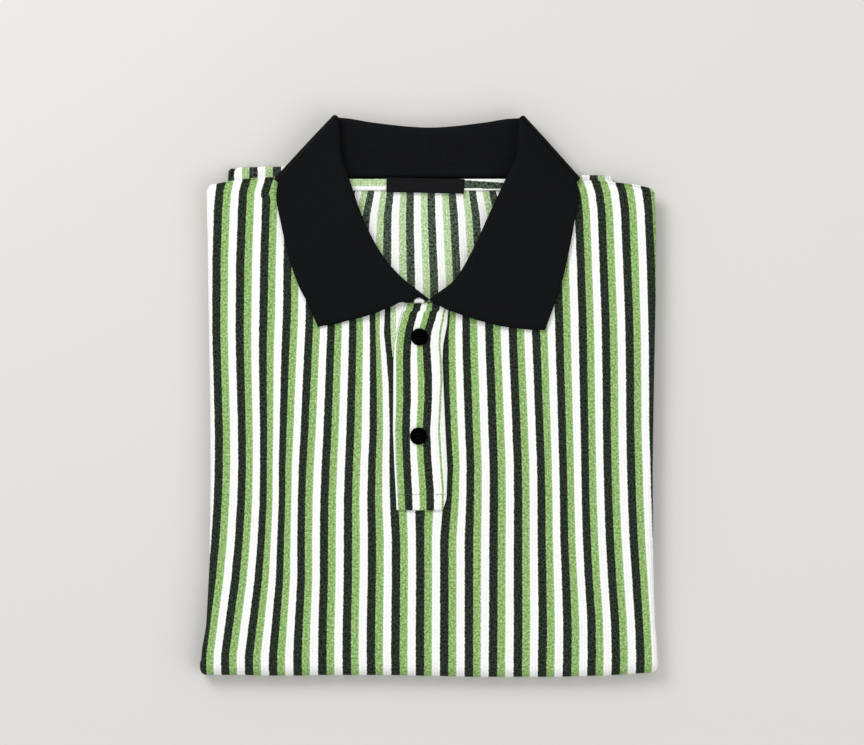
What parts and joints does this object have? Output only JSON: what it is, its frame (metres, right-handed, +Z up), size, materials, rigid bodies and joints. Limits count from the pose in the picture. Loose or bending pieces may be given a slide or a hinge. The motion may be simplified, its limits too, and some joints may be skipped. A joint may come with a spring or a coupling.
{
  "type": "folded polo shirt",
  "caption": "Short-sleeved polo shirt in vertically striped knit with a dark ribbed collar, shelf-folded and lying face up.",
  "frame": {"origin": "on the supporting surface, under the middle of the folded shirt's bounding box", "axes": "+Z up through the shirt's face, +Y from the bottom fold towards the collar, +X to the right in the face-up view"},
  "size_m": [0.2982, 0.3645, 0.0247],
  "materials": {
    "striped_knit": "cotton pique knit with repeating white, near-black and green vertical stripes",
    "knit_inside": "wrong side of the striped pique knit, paler and mottled",
    "black_rib_knit": "matt black flat knit with fine ribs",
    "woven_label": "bare black satin-woven label",
    "button_black": "black polished resin"
  },
  "bodies": {
    "root": {"front": "striped_knit", "back": "knit_inside", "folded_layers": "striped_knit", "collar": "black_rib_knit", "placket": "striped_knit", "under_placket": "knit_inside", "neck_tape": "knit_inside", "label": "woven_label", "button_upper": "button_black", "button_lower": "button_black"}
  },
  "joints": []
}
